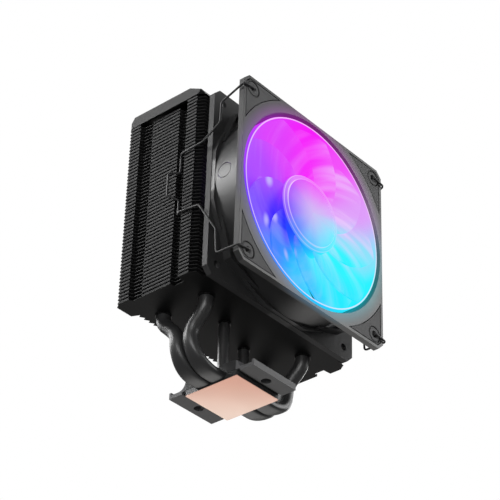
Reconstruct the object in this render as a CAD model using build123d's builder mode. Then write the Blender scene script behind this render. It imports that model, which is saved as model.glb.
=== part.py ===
"""Tower cooler for a processor: a fin stack on heat pipes with a 120 mm lit fan clipped to it.

Millimetres. The origin is the centre of the copper contact face, +Z points up through the
stack, +Y is the way the air goes, so the fan hangs on the -Y side of the fins.
"""

import os
from math import atan2, cos, degrees, hypot, radians, sin, sqrt

from build123d import *

os.makedirs("parts", exist_ok=True)

# Driving dimensions of the fan
fan_side = 120.0
fan_depth = 25.0
fan_hole_pitch = 105.0
fan_front_y = -55.4
fan_axis_z = 96.4
flange_thickness = 3.5
flange_corner = 4.0
bore_radius = 57.3
bore_mouth_radius = 58.3
bore_mouth_depth = 1.6
barrel_radius = 59.5
fan_hole_radius = 2.15

# Driving dimensions of the fin stack
fin_count = 52
fin_pitch = 2.25
fin_thickness = 0.4
fin_bottom_z = 38.05
tab_height = 1.4
half_width = 62.8
middle_half_width = 60.5
tooth_height = 1.8
fin_hole_clearance = 0.05

# Driving dimensions of the base and the pipes
plate_half_x = 17.0
plate_half_y = 18.25
plate_top_z = 3.4
wing_bottom_z = 1.9
wing_thickness = 2.3
wing_half_y = 29.8
wing_hole_y = 23.7
wing_hole_radius = 2.85
saddle_top_z = 10.0
outer_pipe_radius = 4.0
centre_pipe_radius = 3.0
outer_leg_x = 39.55
outer_leg_y = 15.4
centre_leg_x = 13.6
centre_leg_y = 5.0
pipe_top_z = 156.6
flat_width = 10.3
flat_height = 4.4
flat_floor_z = 0.8
flat_centre_y = 5.25

# Driving dimensions of the wire clips
wire_radius = 0.6
clip_pivot_depth = 1.75

# Heights and positions that follow from them
stack_top_z = fin_bottom_z + fin_count * fin_pitch
flat_centre_z = flat_floor_z + flat_height / 2
hole_offset = fan_hole_pitch / 2
upper_fins_start = fin_count // 2


def fan_plane(depth):
    """A plane across the fan, depth behind its front face: x is +X, y is +Z, normal is -Y."""
    origin = (0, fan_front_y + depth, fan_axis_z)
    return Plane(origin=origin, x_dir=(1, 0, 0), z_dir=(0, -1, 0))


def write_part(part, name):
    part.label = name
    export_step(part, f"parts/{name}.step")


# ---------------------------------------------------------------- base

# Contact plate: a copper plate with two channels for the flattened pipes.
with BuildPart() as contact_plate:
    with BuildSketch(Plane.XY):
        Rectangle(2 * plate_half_x, 2 * plate_half_y)
    extrude(amount=plate_top_z)
    chamfer(contact_plate.edges().filter_by(Axis.Z), length=0.5)
    with BuildSketch(Plane.YZ.offset(-plate_half_x - 1)):
        with Locations((-flat_centre_y, flat_centre_z), (flat_centre_y, flat_centre_z)):
            SlotOverall(flat_width + 0.1, flat_height + 0.1)
        with Locations((0, plate_top_z)):
            Rectangle(2 * flat_centre_y, flat_height / 2)
    extrude(amount=2 * plate_half_x + 2, mode=Mode.SUBTRACT)
write_part(contact_plate.part, "contact_plate")

# Pipe saddle: a black block soldered over the pipes, with a low channel between two shoulders.
saddle_half_y = 17.3
shoulder_inner_y = 8.6
channel_top_z = 8.7
socket_floor_z = 7.9
with BuildPart() as pipe_saddle:
    with BuildSketch(Plane.YZ.offset(-plate_half_x)):
        Polygon(
            (-saddle_half_y, plate_top_z + 0.05),
            (-saddle_half_y, saddle_top_z),
            (-shoulder_inner_y, saddle_top_z),
            (-shoulder_inner_y + 1.2, channel_top_z),
            (shoulder_inner_y - 1.2, channel_top_z),
            (shoulder_inner_y, saddle_top_z),
            (saddle_half_y, saddle_top_z),
            (saddle_half_y, plate_top_z + 0.05),
            align=None,
        )
    extrude(amount=2 * plate_half_x)
    outer_edges = pipe_saddle.edges().filter_by(Axis.X).group_by(Axis.Z)[-1].sort_by(Axis.Y)
    fillet([outer_edges[0], outer_edges[-1]], radius=1.2)
    with BuildSketch(Plane.YZ.offset(-plate_half_x - 1)):
        with Locations((-flat_centre_y, flat_centre_z), (flat_centre_y, flat_centre_z)):
            SlotOverall(flat_width + 0.1, flat_height + 0.1)
        with Locations((0, plate_top_z)):
            Rectangle(2 * flat_centre_y, flat_height / 2)
    extrude(amount=2 * plate_half_x + 2, mode=Mode.SUBTRACT)
    with BuildSketch(Plane.XY.offset(socket_floor_z)):
        with Locations((-centre_leg_x, -centre_leg_y), (centre_leg_x, centre_leg_y)):
            Circle(centre_pipe_radius + fin_hole_clearance)
    extrude(amount=saddle_top_z, mode=Mode.SUBTRACT)
write_part(pipe_saddle.part, "pipe_saddle")

# Mounting wings: an extrusion on each side of the base, with a lip, a screw hole, a relief
# beside the copper and a rib that rises against the saddle.
lip_top_z = 5.7
lip_thickness = 1.4
rib_top_z = 8.9
rib_foot_y = 22.6
relief_y = 20.5
relief_z = 3.3
wing_top_z = wing_bottom_z + wing_thickness
collar_radius = 4.4
collar_height = 2.4
for side, wing_name in ((-1, "mounting_wing_front"), (1, "mounting_wing_rear")):
    with BuildPart() as wing:
        with BuildSketch(Plane.YZ.offset(-plate_half_x)):
            with BuildLine():
                Polyline(
                    (side * (plate_half_y + 0.1), relief_z),
                    (side * relief_y, relief_z),
                    (side * relief_y, wing_bottom_z),
                    (side * wing_half_y, wing_bottom_z),
                    (side * wing_half_y, lip_top_z),
                    (side * (wing_half_y - lip_thickness), lip_top_z),
                    (side * (wing_half_y - lip_thickness), wing_top_z),
                    (side * rib_foot_y, wing_top_z),
                )
                ThreePointArc(
                    (side * rib_foot_y, wing_top_z),
                    (side * 19.7, wing_top_z + 1.5),
                    (side * (plate_half_y + 0.1), rib_top_z),
                )
                Polyline(
                    (side * (plate_half_y + 0.1), rib_top_z),
                    (side * (saddle_half_y + 0.05), rib_top_z),
                    (side * (saddle_half_y + 0.05), plate_top_z + 0.05),
                    (side * (plate_half_y + 0.1), plate_top_z + 0.05),
                    (side * (plate_half_y + 0.1), relief_z),
                )
            make_face()
        extrude(amount=2 * plate_half_x)
        # A raised collar lengthens the screw hole.
        with BuildSketch(Plane.XY.offset(wing_top_z)):
            with Locations((0, side * wing_hole_y)):
                Circle(collar_radius)
        extrude(amount=collar_height)
        with BuildSketch(Plane.XY.offset(wing_bottom_z)):
            with Locations((0, side * wing_hole_y)):
                Circle(wing_hole_radius)
        extrude(amount=wing_thickness + collar_height + 1, mode=Mode.SUBTRACT)
    write_part(wing.part, wing_name)


# ---------------------------------------------------------------- heat pipes

# Outer pipes: each lies flattened in the base, and both its ends sweep up and outwards.
bend_start_x = plate_half_x + 1.5
foot_x = outer_leg_x - 1.0
lean_start_y = 5.9
lean_start_z = 23.0
lean_end_z = 33.0
pipe_bend_radii = [16.5, 8.0, 12.0]
for side, pipe_name in ((-1, "heat_pipe_front"), (1, "heat_pipe_rear")):
    with BuildPart() as outer_pipe:
        with BuildLine() as pipe_line:
            FilletPolyline(
                (bend_start_x, side * flat_centre_y, flat_centre_z),
                (foot_x, side * (flat_centre_y + lean_start_y) / 2, flat_centre_z),
                (outer_leg_x - 0.4, side * lean_start_y, lean_start_z),
                (outer_leg_x, side * outer_leg_y, lean_end_z),
                (outer_leg_x, side * outer_leg_y, pipe_top_z),
                radius=pipe_bend_radii,
            )
        with BuildSketch(pipe_line.line ^ 0):
            Circle(outer_pipe_radius)
        sweep()
        mirror(about=Plane.YZ)
        with BuildSketch(Plane.YZ.offset(-bend_start_x)):
            with Locations((side * flat_centre_y, flat_centre_z)):
                SlotOverall(flat_width, flat_height)
        extrude(amount=2 * bend_start_x)
        with BuildSketch(Plane.XY.offset(flat_floor_z)):
            Rectangle(4 * outer_leg_x, 4 * outer_leg_y)
        extrude(amount=pipe_top_z, mode=Mode.INTERSECT)
    write_part(outer_pipe.part, pipe_name)

# Centre pipes: straight, standing in blind sockets of the saddle.
for side, pipe_name in ((-1, "centre_pipe_left"), (1, "centre_pipe_right")):
    with BuildPart() as centre_pipe:
        with BuildSketch(Plane.XY.offset(socket_floor_z + 0.1)):
            with Locations((side * centre_leg_x, side * centre_leg_y)):
                Circle(centre_pipe_radius)
        extrude(amount=pipe_top_z - socket_floor_z - 0.1)
        chamfer(centre_pipe.edges().sort_by(Axis.Z)[-1], length=0.8)
    write_part(centre_pipe.part, pipe_name)


# ---------------------------------------------------------------- fin stack

# Depths along Y at which a fin's side steps in and out, from the back edge to the front edge
back_y = 29.3
band_one_back_y = 26.2
band_one_front_y = 19.1
recess_back_y = 17.9
recess_front_y = 16.2
band_two_back_y = 11.7
band_two_front_y = -8.7
band_three_back_y = -16.2
band_three_front_y = -23.6
front_y = -27.5
recess_half_width = half_width - 2.4
clip_groove_half_width = 57.6
back_corner_x = 60.7
front_corner_x = 60.3
back_land_x = 49.9
back_step_x = 47.7
back_root_y = 24.5
front_root_y = -28.4
front_step_x = 54.6
back_teeth = 26
front_teeth = 30


def saw_edge(start_x, root_y, tip_y, teeth):
    """The points of one saw-toothed edge, from +start_x to -start_x."""
    pitch = 2 * start_x / teeth
    points = []
    for tooth in range(teeth):
        left = start_x - tooth * pitch
        points += [(left, root_y), (left - 0.75 * pitch, tip_y)]
    return points + [(-start_x, root_y)]


def side_outline(sign):
    """One side of a fin, from its back corner to its front corner."""
    steps = (
        (back_corner_x, back_y),
        (half_width, band_one_back_y),
        (half_width, band_one_front_y),
        (recess_half_width, recess_back_y),
        (recess_half_width, recess_front_y),
        (middle_half_width, band_two_back_y),
        (middle_half_width, band_two_front_y),
        (clip_groove_half_width, band_two_front_y - 0.6),
        (clip_groove_half_width, band_three_back_y + 0.6),
        (half_width, band_three_back_y),
        (half_width, band_three_front_y),
        (front_corner_x, front_y),
    )
    return [(sign * x, y) for x, y in steps]


def fin_outline():
    back_tip_y = back_root_y + tooth_height
    front_tip_y = front_root_y - tooth_height
    right = side_outline(1)
    left = side_outline(-1)
    front = [(front_step_x + 1.2, front_y)] + saw_edge(
        front_step_x, front_root_y, front_tip_y, front_teeth
    )
    front.append((-front_step_x - 1.2, front_y))
    back = [(back_land_x, back_y)] + saw_edge(back_step_x, back_root_y, back_tip_y, back_teeth)
    back.append((-back_land_x, back_y))
    return right + front + left[::-1] + back[::-1]


pipe_places = [(sx * outer_leg_x, sy * outer_leg_y) for sx in (-1, 1) for sy in (-1, 1)]
centre_places = [(-centre_leg_x, -centre_leg_y), (centre_leg_x, centre_leg_y)]
tab_bands = (
    (half_width, band_one_back_y, band_one_front_y),
    (middle_half_width, band_two_back_y, band_two_front_y),
    (half_width, band_three_back_y, band_three_front_y),
)

# One fin: a sheet with folded-up tabs along its two sides, bored for the six pipe legs.
with BuildPart() as fin:
    with BuildSketch():
        with BuildLine():
            Polyline(*fin_outline(), close=True)
        make_face()
        with Locations(*pipe_places):
            Circle(outer_pipe_radius + fin_hole_clearance, mode=Mode.SUBTRACT)
        with Locations(*centre_places):
            Circle(centre_pipe_radius + fin_hole_clearance, mode=Mode.SUBTRACT)
    extrude(amount=fin_thickness)
    with BuildSketch(Plane.XY.offset(fin_thickness)):
        for band_x, band_back_y, band_front_y in tab_bands:
            band_middle_y = (band_back_y + band_front_y) / 2
            with Locations(
                (band_x - fin_thickness / 2, band_middle_y),
                (fin_thickness / 2 - band_x, band_middle_y),
            ):
                Rectangle(fin_thickness, band_back_y - band_front_y)
    extrude(amount=tab_height - fin_thickness)

# Bottom fin: the same fin, with a short drawn collar around each pipe leg.
collar_drop = 0.9
collar_wall = 0.5
with BuildPart() as bottom_fin:
    with Locations((0, 0, fin_bottom_z)):
        add(fin.part)
    with BuildSketch(Plane.XY.offset(fin_bottom_z)):
        with Locations(*pipe_places):
            Circle(outer_pipe_radius + collar_wall)
        with Locations(*centre_places):
            Circle(centre_pipe_radius + collar_wall)
        with Locations(*pipe_places):
            Circle(outer_pipe_radius + fin_hole_clearance, mode=Mode.SUBTRACT)
        with Locations(*centre_places):
            Circle(centre_pipe_radius + fin_hole_clearance, mode=Mode.SUBTRACT)
    extrude(amount=-collar_drop)
write_part(bottom_fin.part, "bottom_fin")

# The other fins stand in two groups, so that neither file grows too large.
for first, last, group_name in (
    (1, upper_fins_start, "lower_fins"),
    (upper_fins_start, fin_count, "upper_fins"),
):
    with BuildPart() as fin_group:
        with Locations(*[(0, 0, fin_bottom_z + k * fin_pitch) for k in range(first, last)]):
            add(fin.part)
    write_part(fin_group.part, group_name)

# Top cover: a thin black lid with sloping sides and a long slope towards the fan.
cover_top_z = 164.9
cover_wall = 1.5
cover_side_draft = 2.5
with BuildPart() as top_cover:
    with BuildSketch(Plane.YZ.offset(-half_width)):
        Polygon(
            (back_y, stack_top_z),
            (back_y - 2.1, cover_top_z),
            (-15.2, cover_top_z),
            (-25.3, 158.5),
            (front_y, stack_top_z),
            align=None,
        )
    extrude(amount=2 * half_width)
    with BuildSketch(Plane.XZ.offset(-back_y - 1)):
        Polygon(
            (-half_width, stack_top_z),
            (half_width, stack_top_z),
            (half_width - cover_side_draft, cover_top_z),
            (cover_side_draft - half_width, cover_top_z),
            align=None,
        )
    extrude(amount=back_y - front_y + 2, mode=Mode.INTERSECT)
    with BuildSketch(Plane.XY.offset(stack_top_z)):
        Polygon(
            (back_corner_x, back_y),
            (half_width, band_one_back_y),
            (half_width, band_three_front_y),
            (front_corner_x, front_y),
            (-front_corner_x, front_y),
            (-half_width, band_three_front_y),
            (-half_width, band_one_back_y),
            (-back_corner_x, back_y),
            align=None,
        )
    extrude(amount=cover_top_z - stack_top_z, mode=Mode.INTERSECT)
    offset(amount=-cover_wall, openings=top_cover.faces().sort_by(Axis.Z)[0])
write_part(top_cover.part, "top_cover")


# ---------------------------------------------------------------- fan frame

pad_reach = 58.3
pad_corner_limit = 113.6
pad_arc_radius = 65.4
pad_gap = 0.5
pad_depth = 2.0
hub_seat_radius = 25.5
hub_seat_depth = 21.7
strut_depth = 20.5
tube_radius = 5.4
tube_bore = 4.05
tube_front_depth = 6.4
plug_y = -42.9
plug_radius = 4.5
rear_step_depth = 19.0
rib_depth = 17.0
rib_width = 1.2
rib_span = [(54.4, 24.3), (46.6, 46.8)]
step_margin = 0.3
step_rise = 2.2
strut_angles = (40, 130, 220, 310)
strut_lean = 18
strut_width = 4.2
seat_wall = 1.2
tube_floor_depth = 23.0
plug_seat_x = 58.5


def corner_face(reach, corner_limit, arc_radius):
    """Sketches the four flat corners outside a circle and inside a square with cut corners."""
    Rectangle(2 * reach, 2 * reach)
    cut_side = corner_limit * sqrt(2)
    Rectangle(cut_side, cut_side, rotation=45, mode=Mode.INTERSECT)
    Circle(arc_radius, mode=Mode.SUBTRACT)


with BuildPart() as fan_frame:
    for depth in (0.0, fan_depth - flange_thickness):
        with BuildSketch(fan_plane(depth)):
            Rectangle(fan_side, fan_side)
        extrude(amount=-flange_thickness)
    chamfer(fan_frame.edges().filter_by(Axis.Y), length=flange_corner)
    with BuildSketch(fan_plane(0)):
        Circle(barrel_radius)
    extrude(amount=-fan_depth)
    # A raised step runs round the barrel just before the rear flange.
    with BuildSketch(fan_plane(rear_step_depth)):
        Rectangle(fan_side - 2 * step_margin, fan_side - 2 * step_margin)
        Circle(barrel_radius + step_rise, mode=Mode.INTERSECT)
    extrude(amount=rear_step_depth - fan_depth + flange_thickness)
    # Two short ribs brace each rear corner, nearly tangent to the barrel.
    with BuildSketch(fan_plane(rib_depth)):
        for sx in (-1, 1):
            for sy in (-1, 1):
                for rib_ends in (rib_span, [(v, u) for u, v in rib_span]):
                    (u0, v0), (u1, v1) = [(sx * u, sy * v) for u, v in rib_ends]
                    middle = ((u0 + u1) / 2, (v0 + v1) / 2)
                    with Locations(Location(middle, degrees(atan2(v1 - v0, u1 - u0)))):
                        Rectangle(hypot(u1 - u0, v1 - v0), rib_width)
    extrude(amount=rib_depth - fan_depth + flange_thickness)
    # The bore, with its flared mouth.
    with BuildSketch(fan_plane(-1)):
        Circle(bore_radius)
    extrude(amount=-fan_depth - 2, mode=Mode.SUBTRACT)
    with BuildSketch(fan_plane(0)):
        Circle(bore_mouth_radius)
    with BuildSketch(fan_plane(bore_mouth_depth)):
        Circle(bore_radius)
    loft(mode=Mode.SUBTRACT)
    # The motor seat at the back, held by four struts.
    with BuildSketch(fan_plane(hub_seat_depth)):
        Circle(hub_seat_radius)
    extrude(amount=hub_seat_depth - fan_depth)
    with BuildSketch(fan_plane(strut_depth)):
        Circle(hub_seat_radius)
        Circle(hub_seat_radius - seat_wall, mode=Mode.SUBTRACT)
        strut_reach = (hub_seat_radius + bore_radius) / 2
        strut_length = bore_radius - hub_seat_radius + 5.0
        for angle in strut_angles:
            spot = (strut_reach * cos(radians(angle)), strut_reach * sin(radians(angle)))
            with Locations(Location(spot, angle + strut_lean)):
                Rectangle(strut_length, strut_width)
    extrude(amount=strut_depth - fan_depth)
    with BuildSketch(fan_plane(strut_depth - 1)):
        Circle(hub_seat_radius - seat_wall)
    extrude(amount=strut_depth - 1 - hub_seat_depth, mode=Mode.SUBTRACT)
    # The bearing tube.
    with BuildSketch(fan_plane(tube_front_depth)):
        Circle(tube_radius)
    extrude(amount=tube_front_depth - fan_depth)
    with BuildSketch(fan_plane(tube_front_depth)):
        Circle(tube_bore)
    extrude(amount=tube_front_depth - tube_floor_depth, mode=Mode.SUBTRACT)
    # Pockets for the corner pads, in both faces, and the clip holes.
    for depth in (pad_depth, fan_depth):
        with BuildSketch(fan_plane(depth)):
            corner_face(pad_reach, pad_corner_limit, pad_arc_radius)
        extrude(amount=pad_depth, mode=Mode.SUBTRACT)
    with BuildSketch(fan_plane(0)):
        with GridLocations(fan_hole_pitch, fan_hole_pitch, 2, 2):
            Circle(fan_hole_radius)
    extrude(amount=-fan_depth, mode=Mode.SUBTRACT)
    # A shallow round seat for the plug in the barrel's left side.
    with BuildSketch(Plane.YZ.offset(-fan_side / 2)):
        with Locations((plug_y, fan_axis_z)):
            Circle(plug_radius + 0.2)
    extrude(amount=fan_side / 2 - plug_seat_x, mode=Mode.SUBTRACT)
write_part(fan_frame.part, "fan_frame")

# Corner pads: soft rubber, flush with the face, with a ring groove around the hole.
ring_outer = 4.8
ring_inner = 4.1
ring_depth = 0.5
corner_names = (
    (-1, 1, "top_left"),
    (1, 1, "top_right"),
    (-1, -1, "bottom_left"),
    (1, -1, "bottom_right"),
)
pad_faces = (("front", pad_depth, 1), ("rear", fan_depth - pad_depth, -1))
for face_name, pad_back_depth, outward in pad_faces:
    for sx, sy, corner_name in corner_names:
        with BuildPart() as pad:
            with BuildSketch(fan_plane(pad_back_depth)):
                corner_face(pad_reach - pad_gap, pad_corner_limit - 1.5 * pad_gap, pad_arc_radius + pad_gap)
                with Locations((sx * pad_reach, sy * pad_reach)):
                    Rectangle(fan_side, fan_side, mode=Mode.INTERSECT)
                with Locations((sx * hole_offset, sy * hole_offset)):
                    Circle(fan_hole_radius, mode=Mode.SUBTRACT)
            extrude(amount=outward * pad_depth)
            face_depth = pad_back_depth - outward * pad_depth
            with BuildSketch(fan_plane(face_depth)):
                with Locations((sx * hole_offset, sy * hole_offset)):
                    Circle(ring_outer)
                    Circle(ring_inner, mode=Mode.SUBTRACT)
            extrude(amount=-outward * ring_depth, mode=Mode.SUBTRACT)
        write_part(pad.part, f"{face_name}_pad_{corner_name}")

# Frame plug: a plain round plug in the side of the barrel.
with BuildPart() as frame_plug:
    with BuildSketch(Plane.YZ.offset(-plug_seat_x - 0.1)):
        with Locations((plug_y, fan_axis_z)):
            Circle(plug_radius)
    extrude(amount=-pad_depth)
    with BuildSketch(fan_plane(0)):
        Circle(barrel_radius - 0.05)
    extrude(amount=-fan_depth, mode=Mode.INTERSECT)
write_part(frame_plug.part, "frame_plug")


# ---------------------------------------------------------------- fan motor

shaft_radius = 1.5
bearing_clearance = 0.03
hub_radius = 22.7
ring_outer_radius = 56.2
ring_inner_radius = 54.9
hub_rear_depth = 18.6


fan_axis = Axis((0, fan_front_y, fan_axis_z), (0, 1, 0))


def turned(points):
    """Turns a profile of (radius, depth) points about the fan's axis."""
    axis_plane = Plane(origin=(0, fan_front_y, fan_axis_z), x_dir=(1, 0, 0), z_dir=(0, 0, 1))
    with BuildSketch(axis_plane) as profile:
        with BuildLine():
            Polyline(*points, close=True)
        make_face()
    revolve(profile.sketch, axis=fan_axis, revolution_arc=360)


# Impeller: hub, nine swept blades and the ring that joins their tips, moulded in one.
blade_count = 9
blade_root_radius = 21.9
blade_tip_radius = 55.4


def blade_section(radius, sweep_angle, half_chord, half_rise, bulge, thickness):
    """One blade section, drawn on a plane square to the radius."""
    a = radians(sweep_angle)
    centre = (radius * cos(a), fan_front_y + 10.6, fan_axis_z + radius * sin(a))
    section_plane = Plane(origin=centre, x_dir=(0, 1, 0), z_dir=(cos(a), 0, sin(a)))
    length = hypot(half_chord, half_rise)
    nx, ny = -half_chord / length, half_rise / length
    t = thickness / 2
    lead = (-half_rise, -half_chord)
    trail = (half_rise, half_chord)
    front = [(p[0] + nx * t * 0.6, p[1] + ny * t * 0.6) for p in (lead, trail)]
    rear = [(p[0] - nx * t * 0.6, p[1] - ny * t * 0.6) for p in (lead, trail)]
    with BuildSketch(section_plane) as section:
        with BuildLine():
            ThreePointArc(front[0], (nx * (bulge + t), ny * (bulge + t)), front[1])
            Line(front[1], rear[1])
            ThreePointArc(rear[1], (nx * (bulge - t), ny * (bulge - t)), rear[0])
            Line(rear[0], front[0])
        make_face()
    return section.sketch


# Radius, sweep angle, half chord, half rise, bulge and thickness of each section.
blade_sections = (
    (blade_root_radius - 0.6, 0, 6.0, 7.4, 1.6, 2.0),
    (38.0, 9, 11.0, 7.0, 2.2, 1.6),
    (blade_tip_radius + 3.4, 24, 15.5, 5.4, 2.4, 1.3),
)
with BuildPart() as impeller:
    blade = loft([blade_section(*section) for section in blade_sections])
    for turn in range(1, blade_count):
        add(blade.rotate(fan_axis, turn * 360 / blade_count))
    with BuildSketch(fan_plane(0)):
        Circle(blade_tip_radius)
        Circle(blade_root_radius, mode=Mode.SUBTRACT)
    extrude(amount=-fan_depth, mode=Mode.INTERSECT)
    turned(
        [
            (0, 2.3),
            (20.3, 2.3),
            (20.3, 1.4),
            (21.1, 1.4),
            (hub_radius, 3.0),
            (hub_radius, hub_rear_depth),
            (hub_radius - 1.5, hub_rear_depth),
            (hub_radius - 1.5, 4.3),
            (0, 4.3),
        ]
    )
    turned(
        [
            (ring_inner_radius, 0.5),
            (ring_outer_radius, 0.5),
            (ring_outer_radius, 15.0),
            (ring_inner_radius, 15.0),
        ]
    )
write_part(impeller.part, "impeller")

# Hub cap: a thin lit disc set into the front of the hub.
with BuildPart() as hub_cap:
    turned([(0, 0.8), (19.2, 0.8), (20.1, 1.5), (20.1, 2.25), (0, 2.25)])
write_part(hub_cap.part, "hub_cap")

# Rotor yoke: a drawn steel cup, with the boss that grips the shaft.
with BuildPart() as rotor_yoke:
    turned(
        [
            (shaft_radius, 4.35),
            (21.1, 4.35),
            (21.1, 18.0),
            (20.2, 18.0),
            (20.2, 5.2),
            (3.2, 5.2),
            (3.2, 6.0),
            (shaft_radius, 6.0),
        ]
    )
write_part(rotor_yoke.part, "rotor_yoke")

# Rotor magnet: a rubber-bonded ring inside the yoke.
with BuildPart() as rotor_magnet:
    turned([(20.15, 6.6), (20.15, 17.4), (18.2, 17.4), (18.2, 6.6)])
write_part(rotor_magnet.part, "rotor_magnet")

# Rotor shaft, with the groove for its retaining clip.
with BuildPart() as rotor_shaft:
    turned(
        [
            (0, 4.4),
            (shaft_radius - 0.02, 4.4),
            (shaft_radius - 0.02, 20.6),
            (1.1, 20.6),
            (1.1, 21.1),
            (shaft_radius - 0.02, 21.1),
            (shaft_radius - 0.02, 21.8),
            (1.1, 22.1),
            (0, 22.1),
        ]
    )
write_part(rotor_shaft.part, "rotor_shaft")

# Retaining clip: a split washer that sits in the shaft's groove.
with BuildPart() as retaining_clip:
    with BuildSketch(fan_plane(20.65)):
        Circle(2.7)
        Circle(1.15, mode=Mode.SUBTRACT)
        with Locations((0, 2.2)):
            Rectangle(1.2, 2.6, mode=Mode.SUBTRACT)
    extrude(amount=-0.4)
write_part(retaining_clip.part, "retaining_clip")

# Bearing sleeve, pressed into the tube.
with BuildPart() as bearing_sleeve:
    turned(
        [
            (shaft_radius + bearing_clearance, 7.0),
            (tube_bore - 0.02, 7.0),
            (tube_bore - 0.02, 20.2),
            (shaft_radius + bearing_clearance, 20.2),
        ]
    )
write_part(bearing_sleeve.part, "bearing_sleeve")

# Thrust pad under the shaft's end.
with BuildPart() as thrust_pad:
    turned([(0, 22.3), (3.6, 22.3), (3.6, 22.95), (0, 22.95)])
write_part(thrust_pad.part, "thrust_pad")

# Stator core: laminated steel with four pole shoes.
core_front_depth = 9.0
core_rear_depth = 15.6
pole_count = 4
shoe_radius = 17.6
shoe_thickness = 1.7
slot_width = 4.5
core_ring_radius = 8.4
arm_length = 8.6
arm_width = 4.2
arm_centre = 12.2
carrier_thickness = 0.8
with BuildPart() as stator_core:
    with BuildSketch(fan_plane(core_front_depth)):
        Circle(shoe_radius)
        Circle(shoe_radius - shoe_thickness, mode=Mode.SUBTRACT)
        with PolarLocations(shoe_radius - 1.1, pole_count, start_angle=45):
            Rectangle(6.0, slot_width, mode=Mode.SUBTRACT)
        Circle(core_ring_radius)
        with PolarLocations(arm_centre, pole_count):
            Rectangle(arm_length, arm_width)
        Circle(tube_radius + 0.05, mode=Mode.SUBTRACT)
    extrude(amount=core_front_depth - core_rear_depth)
write_part(stator_core.part, "stator_core")

# Coil carriers: a plastic frame on each face of the core.
with BuildPart() as coil_carriers:
    for depth in (core_front_depth - 0.85, core_rear_depth + 0.05):
        with BuildSketch(fan_plane(depth)):
            Circle(core_ring_radius - 0.2)
            with PolarLocations(arm_centre - 0.6, pole_count):
                Rectangle(arm_length - 1.0, arm_width - 0.2)
            Circle(tube_radius + 0.05, mode=Mode.SUBTRACT)
        extrude(amount=-carrier_thickness)
write_part(coil_carriers.part, "coil_carriers")

# Coils: four wound blocks around the pole arms.
coil_centre = 12.1
coil_length = 6.2
coil_width = 8.6
with BuildPart() as stator_coils:
    with BuildSketch(fan_plane(core_front_depth - 2.2)):
        with PolarLocations(coil_centre, pole_count):
            Rectangle(coil_length, coil_width)
    extrude(amount=core_front_depth - core_rear_depth - 4.4)
    with BuildSketch(fan_plane(core_front_depth - 0.9)):
        with PolarLocations(coil_centre, pole_count):
            Rectangle(coil_length + 0.2, arm_width + 0.1)
    extrude(amount=core_front_depth - core_rear_depth - 1.8, mode=Mode.SUBTRACT)
write_part(stator_coils.part, "stator_coils")

# Motor board, round, behind the stator, with six light-emitting diodes on its rim.
board_depth = 20.3
with BuildPart() as motor_board:
    with BuildSketch(fan_plane(board_depth)):
        Circle(24.0)
        Circle(tube_radius + 0.1, mode=Mode.SUBTRACT)
    extrude(amount=-1.0)
write_part(motor_board.part, "motor_board")

with BuildPart() as board_leds:
    with BuildSketch(fan_plane(board_depth - 1.2)):
        with PolarLocations(22.2, 6, start_angle=22):
            Rectangle(2.8, 3.0)
    extrude(amount=-1.15)
write_part(board_leds.part, "board_leds")


# ---------------------------------------------------------------- wire clips

# Each clip hooks through two holes of the front flange and snaps into the fins' groove.
wire_standoff = 0.9
front_wire_y = fan_front_y - wire_standoff
hook_end_y = fan_front_y + 2 * clip_pivot_depth + wire_standoff
clip_route = (
    (hole_offset, hook_end_y, hole_offset),
    (hole_offset, front_wire_y, hole_offset),
    (61.2, front_wire_y, 51.2),
    (61.5, -40.7, 45.2),
    (61.8, -40.5, 31.6),
    (64.0, -30.4, 21.8),
    (64.0, -15.6, 21.0),
    (61.3, -12.4, 21.4),
    (61.3, -12.4, 10.6),
    (66.6, -8.6, 9.4),
    (66.6, -8.6, -5.4),
    (61.3, -12.4, -7.2),
    (61.3, -12.4, -17.0),
    (64.0, -15.6, -17.6),
    (64.0, -29.8, -19.2),
    (61.8, -40.6, -38.0),
    (61.5, -41.4, -53.2),
    (61.2, front_wire_y, -53.6),
    (hole_offset, front_wire_y, -hole_offset),
    (hole_offset, hook_end_y, -hole_offset),
)
upper_bend_radii = [1.2, 1.5, 2.0, 3.0, 3.0, 2.0, 1.4, 1.6, 1.6]
clip_bend_radii = upper_bend_radii + upper_bend_radii[::-1]
for side, clip_name in ((-1, "left_clip"), (1, "right_clip")):
    with BuildPart() as wire_clip:
        with BuildLine() as clip_line:
            FilletPolyline(
                *[(side * x, y, fan_axis_z + z) for x, y, z in clip_route],
                radius=clip_bend_radii,
            )
        with BuildSketch(clip_line.line ^ 0):
            Circle(wire_radius)
        sweep()
    write_part(wire_clip.part, clip_name)
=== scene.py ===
from math import atan2, copysign, cos, pi, radians, sin

import bmesh
import bpy
from mathutils import Matrix, Vector


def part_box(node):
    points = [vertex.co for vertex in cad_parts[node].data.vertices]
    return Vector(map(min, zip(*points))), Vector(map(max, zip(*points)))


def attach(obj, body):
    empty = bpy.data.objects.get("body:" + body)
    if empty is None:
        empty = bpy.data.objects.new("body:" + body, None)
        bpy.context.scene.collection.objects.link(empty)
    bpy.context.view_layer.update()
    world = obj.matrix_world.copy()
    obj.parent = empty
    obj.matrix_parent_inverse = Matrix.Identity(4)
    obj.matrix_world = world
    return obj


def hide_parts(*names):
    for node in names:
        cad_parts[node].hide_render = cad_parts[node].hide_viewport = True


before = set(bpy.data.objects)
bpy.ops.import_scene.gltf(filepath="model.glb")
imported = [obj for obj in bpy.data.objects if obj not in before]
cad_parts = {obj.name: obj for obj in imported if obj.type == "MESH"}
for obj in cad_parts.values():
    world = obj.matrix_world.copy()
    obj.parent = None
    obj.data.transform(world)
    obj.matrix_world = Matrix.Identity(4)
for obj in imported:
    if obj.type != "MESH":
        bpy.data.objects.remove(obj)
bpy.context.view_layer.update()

mm = 0.001
scene = bpy.context.scene
print("frame loaded:", len(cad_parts), "nodes")

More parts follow.
